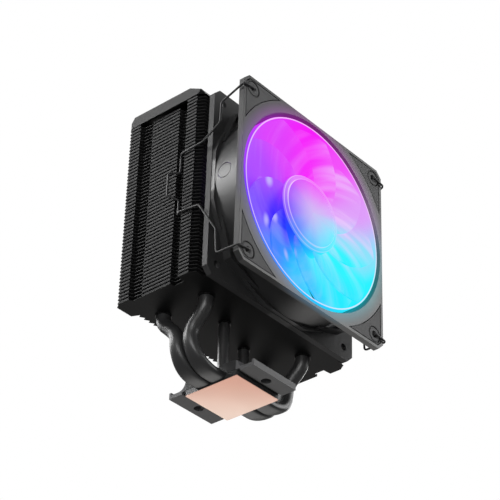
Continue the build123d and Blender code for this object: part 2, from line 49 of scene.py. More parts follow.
# where the main things are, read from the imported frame
fanLow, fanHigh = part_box("fan_frame")
fanCentreZ = (fanLow.z + fanHigh.z) / 2
fanFrontY = fanLow.y
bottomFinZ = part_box("bottom_fin")[0].z
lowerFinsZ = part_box("lower_fins")[0].z
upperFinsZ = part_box("upper_fins")[0].z
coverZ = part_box("top_cover")[0].z
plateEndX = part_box("contact_plate")[1].x

# the fan's screw holes lie this far from its axis, along X and along Z
holeOffset = 52.5 * mm
# vertices closer than this are one vertex
weldGap = 0.000004


# camera, floor and lights
studio = {
    "cameraPlace": (-0.65755, -0.59909, -0.50484),
    "azimuth": -48.12,
    "elevation": -34.0,
    "roll": 1.84,
    "lens": 138.48,
    "floorZ": -1.25,
    "floorSize": 14,
    "worldAbove": 0.18,
    "worldBelow": 0.24,
    "lights": [
        # name, place, looks at, width, height, watts, colour
        ("keyLeft", (-0.98, 0.86, 0.79), (0, -0.02, 0.10), 0.36, 0.50, 17, (1.0, 1.0, 1.0)),
        ("frontSoft", (1.05, -1.05, 0.62), (0, -0.05, 0.09), 1.0, 1.0, 16, (1.0, 1.0, 1.0)),
        ("belowSoft", (0.85, 0.75, -0.72), (0, 0, 0.0), 0.9, 0.9, 3.9, (1.0, 0.98, 0.96)),
        ("sideFill", (-1.20, -0.70, -0.10), (0, 0, 0.08), 0.8, 0.6, 10, (1.0, 1.0, 1.0)),
        ("topSoft", (0.35, 0.75, 1.70), (0, 0, 0.12), 1.4, 1.4, 26, (1.0, 1.0, 1.0)),
        ("rightSoft", (1.45, 0.30, 0.90), (0, 0, 0.09), 1.0, 1.0, 20, (1.0, 1.0, 1.0)),
        ("backSoft", (-0.30, 1.50, 1.00), (0, 0, 0.09), 1.0, 1.0, 24, (1.0, 1.0, 1.0)),
    ],
}


def aimed(place, target):
    direction = Vector(target) - Vector(place)
    return Matrix.Translation(place) @ direction.to_track_quat("-Z", "Y").to_matrix().to_4x4()


def makeCamera():
    azimuth = radians(studio["azimuth"])
    elevation = radians(studio["elevation"])
    roll = radians(studio["roll"])
    forward = -Vector((sin(azimuth) * cos(elevation), -cos(azimuth) * cos(elevation), sin(elevation)))
    level = forward.cross(Vector((0, 0, 1))).normalized()
    upright = level.cross(forward)
    right = level * cos(roll) + upright * sin(roll)
    up = upright * cos(roll) - level * sin(roll)
    camera = bpy.data.objects.new("camera", bpy.data.cameras.new("camera"))
    camera.data.lens = studio["lens"]
    camera.data.sensor_width = 36
    camera.data.clip_end = 50
    turn = Matrix((right, up, -forward)).transposed().to_4x4()
    camera.matrix_world = Matrix.Translation(studio["cameraPlace"]) @ turn
    scene.collection.objects.link(camera)
    scene.camera = camera


def makeLights():
    for name, place, target, width, height, watts, colour in studio["lights"]:
        lamp = bpy.data.lights.new(name, "AREA")
        lamp.shape = "RECTANGLE"
        lamp.size = width
        lamp.size_y = height
        lamp.energy = watts
        lamp.color = colour
        lampObject = bpy.data.objects.new(name, lamp)
        lampObject.matrix_world = aimed(place, target)
        scene.collection.objects.link(lampObject)


def makeWorld():
    # white behind the object, and a weaker even light on it
    world = bpy.data.worlds.new("studioWorld")
    world.use_nodes = True
    scene.world = world
    nodes = world.node_tree.nodes
    links = world.node_tree.links
    soft = nodes["Background"]
    direction = nodes.new("ShaderNodeTexCoord")
    heights = nodes.new("ShaderNodeSeparateXYZ")
    fade = nodes.new("ShaderNodeMapRange")
    fade.inputs["From Min"].default_value = -0.5
    fade.inputs["From Max"].default_value = 0.15
    fade.inputs["To Min"].default_value = studio["worldBelow"]
    fade.inputs["To Max"].default_value = studio["worldAbove"]
    links.new(direction.outputs["Generated"], heights.inputs[0])
    links.new(heights.outputs["Z"], fade.inputs["Value"])
    links.new(fade.outputs[0], soft.inputs["Strength"])
    soft.inputs["Color"].default_value = (1, 1, 1, 1)
    seen = nodes.new("ShaderNodeBackground")
    seen.inputs["Color"].default_value = (1, 1, 1, 1)
    seen.inputs["Strength"].default_value = 1.0
    path = nodes.new("ShaderNodeLightPath")
    mixed = nodes.new("ShaderNodeMixShader")
    links.new(path.outputs["Is Camera Ray"], mixed.inputs[0])
    links.new(soft.outputs[0], mixed.inputs[1])
    links.new(seen.outputs[0], mixed.inputs[2])
    links.new(mixed.outputs[0], nodes["World Output"].inputs["Surface"])


# shader tools
class Signal:
    # one output of a node; sums with it add Math nodes
    def __init__(self, finish, socket):
        self.finish = finish
        self.socket = socket

    def maths(self, operation, *values):
        return self.finish.node("ShaderNodeMath", {"operation": operation}, dict(enumerate(values)))

    def __add__(self, other):
        return self.maths("ADD", self, other)

    def __radd__(self, other):
        return self.maths("ADD", other, self)

    def __sub__(self, other):
        return self.maths("SUBTRACT", self, other)

    def __rsub__(self, other):
        return self.maths("SUBTRACT", other, self)

    def __mul__(self, other):
        return self.maths("MULTIPLY", self, other)

    def __rmul__(self, other):
        return self.maths("MULTIPLY", other, self)

    def __truediv__(self, other):
        return self.maths("DIVIDE", self, other)

    def __rtruediv__(self, other):
        return self.maths("DIVIDE", other, self)

    def __pow__(self, other):
        return self.maths("POWER", self, other)

    def sine(self):
        return self.maths("SINE", self)

    def cosine(self):
        return self.maths("COSINE", self)

    def fraction(self):
        return self.maths("FRACT", self)

    def size(self):
        return self.maths("ABSOLUTE", self)

    def band(self, low, high):
        # 0 below low, 1 above high, smooth between
        settings = {"interpolation_type": "SMOOTHSTEP"}
        return self.finish.node("ShaderNodeMapRange", settings, {0: self, 1: low, 2: high})

    def past(self, place, blur):
        # 0 before a place and 1 past it, with an edge that is twice the blur wide
        return self.band(place - blur, place + blur)


class Finish:
    # a material, its shader and the ways to feed it
    def __init__(self, name, **constants):
        self.material = bpy.data.materials.new(name)
        self.material.use_nodes = True
        self.tree = self.material.node_tree
        self.shader = self.tree.nodes["Principled BSDF"]
        for socketName, value in constants.items():
            self.shader.inputs[socketName.replace("_", " ")].default_value = value
        self.place = self.node("ShaderNodeTexCoord", {}, {}, "Object")
        self.x, self.y, self.z = self.split(self.place)

    def node(self, kind, settings, values, output=0):
        made = self.tree.nodes.new(kind)
        for key, value in settings.items():
            if key == "stops":
                self.setStops(made.color_ramp, value)
            else:
                setattr(made, key, value)
        for key, value in values.items():
            if isinstance(value, Signal):
                self.tree.links.new(value.socket, made.inputs[key])
            else:
                made.inputs[key].default_value = value
        return Signal(self, made.outputs[output])

    def setStops(self, ramp, stops):
        ramp.interpolation = "EASE"
        while len(ramp.elements) > 1:
            ramp.elements.remove(ramp.elements[-1])
        ramp.elements[0].position = stops[0][0]
        ramp.elements[0].color = (*stops[0][1], 1)
        for position, colour in stops[1:]:
            ramp.elements.new(position).color = (*colour, 1)

    def length(self, vector):
        return self.node("ShaderNodeVectorMath", {"operation": "LENGTH"}, {0: vector}, "Value")

    def split(self, vector):
        node = self.tree.nodes.new("ShaderNodeSeparateXYZ")
        self.tree.links.new(vector.socket, node.inputs[0])
        return [Signal(self, output) for output in node.outputs]

    def join(self, x, y, z):
        return self.node("ShaderNodeCombineXYZ", {}, {0: x, 1: y, 2: z})

    def noise(self, scale, detail, vector=None):
        values = {"Vector": vector or self.place, "Scale": scale, "Detail": detail}
        return self.node("ShaderNodeTexNoise", {}, values)

    def ramp(self, value, stops):
        return self.node("ShaderNodeValToRGB", {"stops": stops}, {0: value})

    def mix(self, factor, first, second):
        def full(colour):
            return colour if isinstance(colour, Signal) else (*colour, 1)
        values = {0: factor, 6: full(first), 7: full(second)}
        return self.node("ShaderNodeMix", {"data_type": "RGBA"}, values, 2)

    def scaled(self, colour, amount):
        factors = self.join(amount, amount, amount)
        return self.node("ShaderNodeVectorMath", {"operation": "MULTIPLY"}, {0: colour, 1: factors})

    def bump(self, height, distance, strength):
        values = {"Height": height, "Distance": distance, "Strength": strength}
        return self.node("ShaderNodeBump", {}, values)

    def feed(self, **signals):
        for socketName, signal in signals.items():
            self.tree.links.new(signal.socket, self.shader.inputs[socketName.replace("_", " ")])
        return self.material


def grey(level):
    # a black or grey with a trace of blue
    return (level, level, level * 1.02)


# the fan's light; lengths in metres
fanGlow = {
    # colours round the fan, by share of a turn from +X towards +Z
    "wheel": [
        (0.00, (0.25, 0.73, 0.92)),
        (0.08, (0.71, 0.33, 0.92)),
        (0.17, (0.86, 0.08, 0.92)),
        (0.25, (0.89, 0.012, 0.93)),
        (0.36, (0.70, 0.04, 0.93)),
        (0.46, (0.40, 0.05, 0.96)),
        (0.56, (0.16, 0.045, 0.97)),
        (0.64, (0.035, 0.20, 0.97)),
        (0.74, (0.022, 0.52, 0.97)),
        (0.84, (0.018, 0.76, 0.98)),
        (0.94, (0.02, 0.86, 0.97)),
        (1.00, (0.25, 0.73, 0.92)),
    ],
    # painted highlight colour of the cap's middle
    "paleHighlight": (0.58, 0.46, 0.86),
    # painted highlight colour of the thin lines on the cap, the hub's rim and the ring's front edge
    "line": (1.0, 0.80, 1.0),
    # painted highlight colour of the hub's front bevel and of the streaks on the blades
    "streakHighlight": (0.84, 0.60, 0.96),
    # painted shadow colour: the deep blue shade on the hub's left wall and on the blades beside it
    "shadeBlue": (0.008, 0.015, 0.96),
    # painted glow colour of the diodes' spots on the blades
    "diode": (0.55, 0.50, 1.0),
    "diodeCount": 10,
    # share of the step between two diodes by which their ring is turned
    "diodeStart": 0.65,
    "diodeRadius": 0.0345,
    "diodeGlowSpread": 0.0048,
    # painted highlight lines and edges, by distance from the axis or depth behind the frame's front face
    "capEdge": 0.0215,
    "capHighlightLine": 0.01975,
    "hubHighlightLine": 0.02235,
    "hubWallDepth": 0.0034,
    "ringFaceDepth": 0.00061,
    # light spilt on the frame, from the bore out to where it has died away
    "boreRadius": 0.0573,
    "haloRadius": 0.0685,
    "spill": 0.15,
}


def placeOnFan(finish):
    # height over the fan's axis, distance from it, angle and share of a turn round it, and depth
    # behind the frame's front face
    finish.up = finish.z - fanCentreZ
    finish.reach = finish.length(finish.join(finish.x, 0.0, finish.up))
    finish.angle = finish.up.maths("ARCTAN2", finish.up, finish.x)
    finish.turn = (finish.angle / (2 * pi) + 1).fraction()
    finish.depth = finish.y - fanFrontY


def capColour(finish, colour, upper):
    # painted highlight: paler towards the middle, with a thin painted highlight line near the edge that is
    # stronger higher up
    cloud = finish.noise(70, 3)
    centre = 1 - finish.reach.band(0.0, fanGlow["capEdge"]) * 0.80
    colour = finish.mix(centre * 0.9 + (cloud - 0.5) * 0.25, colour, fanGlow["paleHighlight"])
    line = finish.reach.past(fanGlow["capHighlightLine"], 0.0001)
    return finish.mix(line * (0.30 + upper * 0.35), colour, fanGlow["line"])


def hubColour(finish, colour, upper, onLeft):
    # painted shadow in deep blue low on the left wall, a painted highlight on the front bevel, and a thin
    # painted highlight line round the front rim, stronger higher up
    low = 1 - finish.up.band(-0.024, 0.012)
    wall = finish.depth.past(fanGlow["hubWallDepth"], 0.0002)
    colour = finish.mix(onLeft * low * wall * 0.9, colour, fanGlow["shadeBlue"])
    colour = finish.mix((1 - wall) * (0.10 + upper * 0.22), colour, fanGlow["streakHighlight"])
    rim = (finish.reach - fanGlow["hubHighlightLine"]).size()
    line = (1 - rim.band(0.00005, 0.0002)) * (1 - wall) * (0.25 + upper * 0.30)
    return finish.mix(line, colour, fanGlow["line"])


def ringColour(finish, colour):
    # a painted highlight line on the ring's front edge
    front = 1 - finish.depth.past(fanGlow["ringFaceDepth"], 0.00007)
    return finish.mix(front * 0.58, colour, fanGlow["line"])


def bladeColour(finish, colour, strands, onLeft):
    # painted shadow in deep blue beside the hub's lower left, painted highlight streaks on the right, and
    # painted glow spots over the diodes
    near = 1 - finish.reach.band(0.024, 0.037)
    low = 1 - finish.up.band(-0.022, 0.012)
    high = finish.up.band(-0.040, -0.018)
    colour = finish.mix(onLeft * near * low * high, colour, fanGlow["shadeBlue"])
    onRight = finish.x.band(0.0, 0.030) * finish.up.band(-0.024, 0.004)
    paintedStreaks = strands.band(0.40, 0.72) * (onRight * 0.55 + 0.12)
    colour = finish.mix(paintedStreaks, colour, fanGlow["streakHighlight"])
    step = (finish.turn * fanGlow["diodeCount"] + fanGlow["diodeStart"]).fraction() - 0.5
    across = step * (2 * pi / fanGlow["diodeCount"]) * fanGlow["diodeRadius"]
    along = finish.reach - fanGlow["diodeRadius"]
    gap = (across * across + along * along) ** 0.5
    diodeGlowSpot = 1 - gap.band(0.0004, fanGlow["diodeGlowSpread"])
    below = 1 - finish.up.band(0.004, 0.014)
    return finish.mix(diodeGlowSpot * onLeft * below * 0.75, colour, fanGlow["diode"])


def litPlastic(name, part):
    # frosted clear plastic, lit from inside in colours that change round the fan
    finish = Finish(name, Specular_IOR_Level=0.06, Emission_Strength=1.0, Roughness=0.5)
    placeOnFan(finish)
    swirl = finish.angle + finish.reach * 26
    around = finish.join(swirl.cosine() * 3.2, swirl.sine() * 3.2, finish.reach * 22)
    strands = finish.noise(1.0, 3, around)
    onLeft = 1 - finish.x.band(-0.022, 0.006)
    # painted highlights on the cap and hub are stronger in the upper part
    upper = finish.up.band(-0.020, 0.016)
    colour = finish.ramp(finish.turn, fanGlow["wheel"])
    if part == "cap":
        colour = capColour(finish, colour, upper)
    elif part == "hub":
        colour = hubColour(finish, colour, upper, onLeft)
    elif part == "ring":
        colour = ringColour(finish, colour)
    else:
        colour = bladeColour(finish, colour, strands, onLeft)
    return finish.feed(
        Base_Color=finish.scaled(colour, 0.04),
        Emission_Color=colour,
        Normal=finish.bump(strands, 0.0001, 0.2),
    )


# the frame's front flange is this thick, and its barrel has these radii; in metres
frameShape = {"flange": 0.004, "barrel": 0.0592, "thickEnd": 0.06055}


def mouldedPlastic(name, level, rough):
    # black plastic with a fine spark-eroded grain, tinted round the bore by the fan's light
    finish = Finish(name, IOR=1.46, Specular_IOR_Level=0.45, Emission_Strength=1.0)
    placeOnFan(finish)
    ahead = 1 - finish.depth.band(0.0, frameShape["flange"]) * finish.reach.past(frameShape["barrel"], 0.0002)
    halo = 1 - finish.reach.band(fanGlow["boreRadius"], fanGlow["haloRadius"])
    spill = halo * halo * ahead * fanGlow["spill"]
    glow = finish.scaled(finish.ramp(finish.turn, fanGlow["wheel"]), spill)
    cloud = finish.noise(38, 4)
    grain = finish.noise(3800, 2)
    # the flanges' rims and the thicker end of the barrel are duller than the rest
    rim = finish.x.size().past(fanHigh.x - 0.0002, 0.0001)
    behindFlange = finish.depth.past(frameShape["flange"] + 0.00075, 0.00025)
    thickEnd = finish.reach.past(frameShape["thickEnd"], 0.00025) * behindFlange
    return finish.feed(
        Base_Color=finish.mix(cloud, grey(level * 0.86), grey(level * 1.16)),
        Roughness=rough + (cloud - 0.5) * 0.12 + rim * 0.22 + thickEnd * (1 - rim) * 0.30,
        Emission_Color=glow,
        Normal=finish.bump(grain, 0.00002, 0.2),
    )


def padRubber(name):
    # soft grey-black rubber, a little dusty
    finish = Finish(name, IOR=1.5, Specular_IOR_Level=0.3)
    grain = finish.noise(5200, 2)
    dust = finish.noise(90, 5)
    colour = finish.mix(dust, grey(0.052), grey(0.082))
    # painted shade: the ring grooves round each hole are painted black
    grooveRadius = 4.8 * mm
    acrossHole = finish.x.size() - holeOffset
    overHole = (finish.z - fanCentreZ).size() - holeOffset
    fromHole = finish.length(finish.join(acrossHole, 0.0, overHole))
    grooveShade = 1 - (fromHole - grooveRadius).size().band(0.0002, 0.0006)
    colour = finish.mix(grooveShade * 0.9, colour, grey(0.006))
    return finish.feed(
        Base_Color=colour,
        Roughness=0.66 + (grain - 0.5) * 0.15,
        Normal=finish.bump(grain, 0.00004, 0.6),
    )


def finCoat(name, level, rough):
    # black anodised sheet: rolling streaks along X and a faint grey bloom
    finish = Finish(name, Specular_IOR_Level=0.05)
    streakPlace = finish.join(finish.x * 60, finish.y * 1500, finish.z * 700)
    streak = finish.noise(1.0, 3, streakPlace)
    bloom = finish.noise(45, 4)
    colour = finish.mix(bloom * 0.6 + streak * 0.4, grey(level * 0.8), grey(level * 1.25))
    roughness = rough + (streak - 0.5) * 0.16
    return finish.feed(Base_Color=colour, Roughness=roughness, Normal=finish.bump(streak, 0.00002, 0.4))


def smoothCoat(name):
    # the bottom fin's polished black, which mirrors the pipes
    finish = Finish(name, Specular_IOR_Level=0.09)
    cloud = finish.noise(28, 4)
    ripple = finish.noise(75, 2)
    colour = finish.mix(cloud, grey(0.004), grey(0.008))
    side = finish.z.past(bottomFinZ + 0.000055, 0.000025)
    return finish.feed(
        Base_Color=colour,
        Roughness=0.18 + cloud * 0.08 + side * 0.35,
        Normal=finish.bump(ripple, 0.0001, 0.15),
    )


def pipeCoat(name):
    # satin black coat over plated copper, with a slight orange peel
    finish = Finish(name, Metallic=0.1, Specular_IOR_Level=0.65)
    peel = finish.noise(900, 2)
    cloud = finish.noise(60, 4)
    colour = finish.mix(cloud, grey(0.016), grey(0.030))
    roughness = 0.42 + (cloud - 0.5) * 0.10
    return finish.feed(Base_Color=colour, Roughness=roughness, Normal=finish.bump(peel, 0.00004, 0.25))


def extrudedCoat(name, level):
    # dark anodised extrusion, drawn along X, with bare paler edges at its sawn ends
    finish = Finish(name, Specular_IOR_Level=0.15)
    drawn = finish.noise(1.0, 4, finish.join(finish.x * 40, finish.y * 2600, finish.z * 2600))
    cloud = finish.noise(70, 4)
    sawn = finish.x.size().past(plateEndX - 0.00008, 0.00004)
    body = finish.mix(cloud * 0.5 + drawn * 0.5, grey(level * 0.8), grey(level * 1.25))
    colour = finish.mix(sawn, body, grey(level * 1.3))
    roughness = 0.42 + (drawn - 0.5) * 0.2 + sawn * 0.3
    height = drawn * (1 - sawn)
    return finish.feed(Base_Color=colour, Roughness=roughness, Normal=finish.bump(height, 0.00003, 0.5))


def milledCopper(name):
    # bare milled face underneath, black coat on the sides
    finish = Finish(name, Specular_IOR_Level=0.12)
    fromCutter = finish.length(finish.join(finish.x - 0.05, finish.y + 0.11, 0.0))
    rings = (fromCutter * 5200).sine() * 0.5 + 0.5
    cloud = finish.noise(55, 5)
    bareHeight = 0.16 * mm
    bare = 1 - finish.z.past(bareHeight, 0.00006)
    # painted light: the bare copper is darker towards -X and -Y and lighter towards +X and +Y
    across = (finish.x + finish.y).band(-0.032, 0.036)
    copper = finish.mix(across, (0.62, 0.33, 0.25), (0.82, 0.66, 0.57))
    copper = finish.mix(cloud * 0.35, copper, (0.68, 0.44, 0.35))
    colour = finish.mix(bare, grey(0.03), copper)
    return finish.feed(
        Base_Color=colour,
        Metallic=bare * 0.75,
        Roughness=0.40 + (rings - 0.5) * 0.06 + (cloud - 0.5) * 0.1,
        Normal=finish.bump(rings * bare, 0.000004, 0.5),
    )


def powderCoat(name, level, shine):
    # matt black coat with a fine orange peel
    finish = Finish(name, Specular_IOR_Level=shine)
    peel = finish.noise(1400, 3)
    cloud = finish.noise(30, 4)
    colour = finish.mix(cloud, grey(level * 0.8), grey(level * 1.2))
    return finish.feed(
        Base_Color=colour,
        Roughness=0.42 + (cloud - 0.5) * 0.12,
        Normal=finish.bump(peel, 0.00002, 0.25),
    )


def springWire(name):
    # blackened spring steel, slightly uneven from drawing
    finish = Finish(name, Metallic=0.1, Specular_IOR_Level=0.22)
    drawn = finish.noise(1.0, 3, finish.join(finish.x * 900, finish.y * 900, finish.z * 900))
    colour = finish.mix(drawn, grey(0.02), grey(0.045))
    roughness = 0.38 + drawn * 0.2
    return finish.feed(Base_Color=colour, Roughness=roughness, Normal=finish.bump(drawn, 0.00002, 0.3))


def bareMetal(name, colour, rough, scale):
    # turned or drawn metal: fine rings round the fan's axis
    finish = Finish(name, Metallic=1.0)
    rings = finish.noise(1.0, 3, finish.join(finish.x * 90, finish.y * scale, finish.z * 90))
    dull = tuple(0.7 * c for c in colour)
    return finish.feed(
        Base_Color=finish.mix(rings, dull, colour),
        Roughness=rough + (rings - 0.5) * 0.2,
        Normal=finish.bump(rings, 0.00002, 0.4),
    )


def nylon(name, colour):
    # plain plastic or rubber with a faint mottle
    finish = Finish(name, Specular_IOR_Level=0.4, Subsurface_Weight=0.05)
    cloud = finish.noise(300, 4)
    dull = tuple(0.85 * c for c in colour)
    return finish.feed(
        Base_Color=finish.mix(cloud, dull, colour),
        Roughness=0.5 + cloud * 0.1,
        Normal=finish.bump(cloud, 0.00003, 0.3),
    )


def coilWire(name):
    # enamelled turns, laid side by side along the fan's axis
    finish = Finish(name, Metallic=0.9)
    wirePitch = 0.32 * mm
    turns = (finish.y * 2 * pi / wirePitch).sine() * 0.5 + 0.5
    colour = finish.mix(turns, (0.22, 0.06, 0.02), (0.66, 0.26, 0.10))
    roughness = 0.3 + turns * 0.1
    return finish.feed(Base_Color=colour, Roughness=roughness, Normal=finish.bump(turns, 0.00008, 0.8))


def boardMask(name):
    # dark solder mask with ring tracks
    finish = Finish(name, Specular_IOR_Level=0.5)
    trackPitch = 1.6 * mm
    placeOnFan(finish)
    track = (finish.reach * 2 * pi / trackPitch).sine().band(0.1, 0.3)
    cloud = finish.noise(200, 4)
    mask = finish.mix(cloud, (0.008, 0.012, 0.012), (0.014, 0.022, 0.02))
    return finish.feed(
        Base_Color=finish.mix(track * 0.6, mask, (0.02, 0.035, 0.03)),
        Roughness=0.32 + cloud * 0.1,
        Normal=finish.bump(track, 0.00003, 0.5),
    )


finishes = {
    "frame": mouldedPlastic("framePlastic", 0.022, 0.42),
    "plug": mouldedPlastic("plugPlastic", 0.02, 0.40),
    "pad": padRubber("padRubber"),
    "fin": finCoat("finCoat", 0.02, 0.44),
    "bottomFin": smoothCoat("bottomFinCoat"),
    "pipe": pipeCoat("pipeCoat"),
    "saddle": powderCoat("saddleCoat", 0.028, 0.05),
    "wing": extrudedCoat("wingCoat", 0.08),
    "copper": milledCopper("milledCopper"),
    "cover": powderCoat("coverCoat", 0.008, 0.08),
    "wire": springWire("springWire"),
    "blade": litPlastic("bladeGlow", "blade"),
    "hub": litPlastic("hubGlow", "hub"),
    "cap": litPlastic("capGlow", "cap"),
    "ring": litPlastic("ringGlow", "ring"),
    "steel": bareMetal("motorSteel", (0.55, 0.55, 0.56), 0.35, 2400),
    "core": bareMetal("coreSteel", (0.32, 0.32, 0.33), 0.45, 5200),
    "bronze": bareMetal("sinteredBronze", (0.55, 0.36, 0.18), 0.5, 900),
    "magnet": nylon("magnetRubber", (0.05, 0.045, 0.045)),
    "nylon": nylon("whiteNylon", (0.72, 0.72, 0.68)),
    "coil": coilWire("enamelledWire"),
    "board": boardMask("solderMask"),
    "diode": nylon("diodeLens", (0.85, 0.85, 0.80)),
}
print("finishes made:", len(finishes))


# mesh tools
def finishPiece(name, bm, body, finishName, replaced=(), sharpAngle=32):
    # the mesh as an object with its material, on its body, in place of the CAD nodes it replaces
    mesh = bpy.data.meshes.new(name)
    bm.to_mesh(mesh)
    bm.free()
    mesh.materials.append(finishes[finishName])
    mesh.shade_smooth()
    mesh.set_sharp_from_angle(angle=radians(sharpAngle))
    piece = bpy.data.objects.new(name, mesh)
    scene.collection.objects.link(piece)
    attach(piece, body)
    if replaced:
        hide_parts(*replaced)
    return piece


def easedCopy(name, node, body, finishName, edge, sharpAngle=32):
    # a merged copy of a CAD node whose hard edges are rounded off a little
    bm = bmesh.new()
    bm.from_mesh(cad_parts[node].data)
    bmesh.ops.remove_doubles(bm, verts=bm.verts, dist=weldGap)
    bmesh.ops.dissolve_limit(bm, angle_limit=radians(0.6), verts=bm.verts, edges=bm.edges)
    piece = finishPiece(name, bm, body, finishName, [node], sharpAngle)
    if edge:
        bevel = piece.modifiers.new("easedEdges", "BEVEL")
        bevel.width = edge * mm
        bevel.segments = 2
        bevel.limit_method = "ANGLE"
        bevel.angle_limit = radians(38)
        bevel.harden_normals = True


def isTurned(outward, spokes):
    # true where a face stands square to the spokes through its corners
    return outward.length > 0.3 and all(abs(spoke.dot(outward)) > 0.97 * outward.length for spoke in spokes)


def turnedCopy(name, node, body, finishName):
    # a merged copy of a CAD node; faces turned about the fan's axis get exact normals, the rest stay flat
    bm = bmesh.new()
    bm.from_mesh(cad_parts[node].data)
    bmesh.ops.remove_doubles(bm, verts=bm.verts, dist=weldGap)
    mesh = finishPiece(name, bm, body, finishName, [node]).data
    normals = []
    for face in mesh.polygons:
        places = [mesh.vertices[corner].co for corner in face.vertices]
        spokes = [Vector((place.x, 0, place.z - fanCentreZ)).normalized() for place in places]
        outward = Vector((face.normal.x, 0, face.normal.z))
        turned = isTurned(outward, spokes)
        for spoke in spokes:
            normal = face.normal.copy()
            if turned:
                normal = spoke * copysign(outward.length, spoke.dot(outward))
                normal.y = face.normal.y
            normals.append(normal)
    mesh.normals_split_custom_set(normals)


def dressNode(node, finishName):
    # a CAD node that is seen as it is, with a material of ours
    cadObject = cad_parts[node]
    cadObject.data.materials.clear()
    cadObject.data.materials.append(finishes[finishName])


def makeFloor():
    # far enough below for the camera to look up from under the cooler; it neither lights nor mirrors
    bm = bmesh.new()
    level = Matrix.Translation((0, 0, studio["floorZ"]))
    bmesh.ops.create_grid(bm, x_segments=1, y_segments=1, size=studio["floorSize"], matrix=level)
    mesh = bpy.data.meshes.new("floor")
    bm.to_mesh(mesh)
    bm.free()
    finish = Finish("floorPaint", Roughness=0.9, Emission_Strength=0.62)
    paint = finish.mix(finish.noise(2, 3), grey(0.80), grey(0.84))
    mesh.materials.append(finish.feed(Base_Color=paint, Emission_Color=paint))
    floor = bpy.data.objects.new("floor", mesh)
    floor.visible_diffuse = False
    floor.visible_glossy = False
    scene.collection.objects.link(floor)


makeCamera()
makeLights()
makeWorld()
makeFloor()
print("studio made")


# base
easedCopy("copperPlate", "contact_plate", "cooler", "copper", 0.25)
easedCopy("pipeSaddle", "pipe_saddle", "cooler", "saddle", 0.3)
for face in ("front", "rear"):
    easedCopy(face + "Wing", "mounting_wing_" + face, "cooler", "wing", 0.2)
print("base made")


def eased(share):
    # 0 to 1 with a gentle start and end
    return share * share * (3 - 2 * share)


def between(first, last, share):
    # the value a share of the way from first to last
    return first + (last - first) * share


# heat pipes: flat in the base, opening out to round as they sweep up; lengths in mm
heatPipes = {
    "round": 4.0,
    "flatHalfWidth": 5.15,
    "flatHalfHeight": 2.2,
    # power of the section's sine and cosine: 1 is an ellipse, less is squarer
    "flatSquareness": 0.55,
    "sides": 28,
    "stations": 90,
    # right half of the rear pipe's line; the rest is mirrored from it
    "line": [
        (0, 5.25, 3.0),
        (10, 5.25, 3.0),
        (19, 5.25, 3.0),
        (27.2, 5.3, 3.0),
        (34.9, 5.05, 7.2),
        (39.1, 4.7, 14.6),
        (38.9, 5.0, 22.3),
        (39.2, 10.2, 27.8),
        (39.5, 15.1, 32.5),
        (39.55, 15.4, 38.5),
        (39.55, 15.4, 60),
        (39.55, 15.4, 110),
        (39.55, 15.4, 156.5),
    ],
    # distances along the line from its middle
    "flatUntil": 26,
    "roundFrom": 48,
}


def splinePoints(points, order, steps):
    # samples of one smooth curve that is drawn towards a list of control points
    curve = bpy.data.curves.new("guide", "CURVE")
    curve.dimensions = "3D"
    curve.resolution_u = steps
    spline = curve.splines.new("NURBS")
    spline.points.add(len(points) - 1)
    for target, point in zip(spline.points, points):
        target.co = (*[c * mm for c in point], 1)
    spline.order_u = order
    spline.use_endpoint_u = True
    guide = bpy.data.objects.new("guide", curve)
    line = bpy.data.meshes.new_from_object(guide)
    samples = [v.co.copy() for v in line.vertices]
    bpy.data.objects.remove(guide)
    bpy.data.curves.remove(curve)
    bpy.data.meshes.remove(line)
    return samples


def spacedOut(samples, count):
    # the same line at equal steps
    lengths = [0.0]
    for before, after in zip(samples, samples[1:]):
        lengths.append(lengths[-1] + (after - before).length)
    spaced = []
    index = 0
    for step in range(count + 1):
        goal = lengths[-1] * step / count
        while index < len(samples) - 2 and lengths[index + 1] < goal:
            index += 1
        span = max(lengths[index + 1] - lengths[index], 1e-9)
        spaced.append(samples[index].lerp(samples[index + 1], (goal - lengths[index]) / span))
    return spaced


def sweptTube(bm, line, sizeAt, sides, level):
    # a rounded section drawn along a line, one extruded ring at a time; level keeps its flats facing down
    ring = bmesh.ops.create_circle(bm, segments=sides, radius=1.0, cap_ends=True)["verts"]
    angles = [atan2(vert.co.y, vert.co.x) for vert in ring]
    side = level
    for index, point in enumerate(line):
        if index:
            edges = list({e for vert in ring for e in vert.link_edges if e.other_vert(vert) in ring})
            grown = bmesh.ops.extrude_edge_only(bm, edges=edges)["geom"]
            ring = orderedRing(ring, [g for g in grown if isinstance(g, bmesh.types.BMVert)])
        before = line[max(index - 1, 0)]
        after = line[min(index + 1, len(line) - 1)]
        ahead = (after - before).normalized()
        side = (side - ahead * side.dot(ahead)).normalized()
        up = ahead.cross(side)
        wide, tall, square = sizeAt(index)
        for vert, angle in zip(ring, angles):
            across = wide * copysign(abs(cos(angle)) ** square, cos(angle))
            over = tall * copysign(abs(sin(angle)) ** square, sin(angle))
            vert.co = point + side * across + up * over
    bmesh.ops.contextual_create(bm, geom=list({e for v in ring for e in v.link_edges if e.is_boundary}))


def orderedRing(old, new):
    # the extruded vertices, in the order of the ring that they grew from
    fresh = set(new)
    return [next(e.other_vert(v) for e in v.link_edges if e.other_vert(v) in fresh) for v in old]


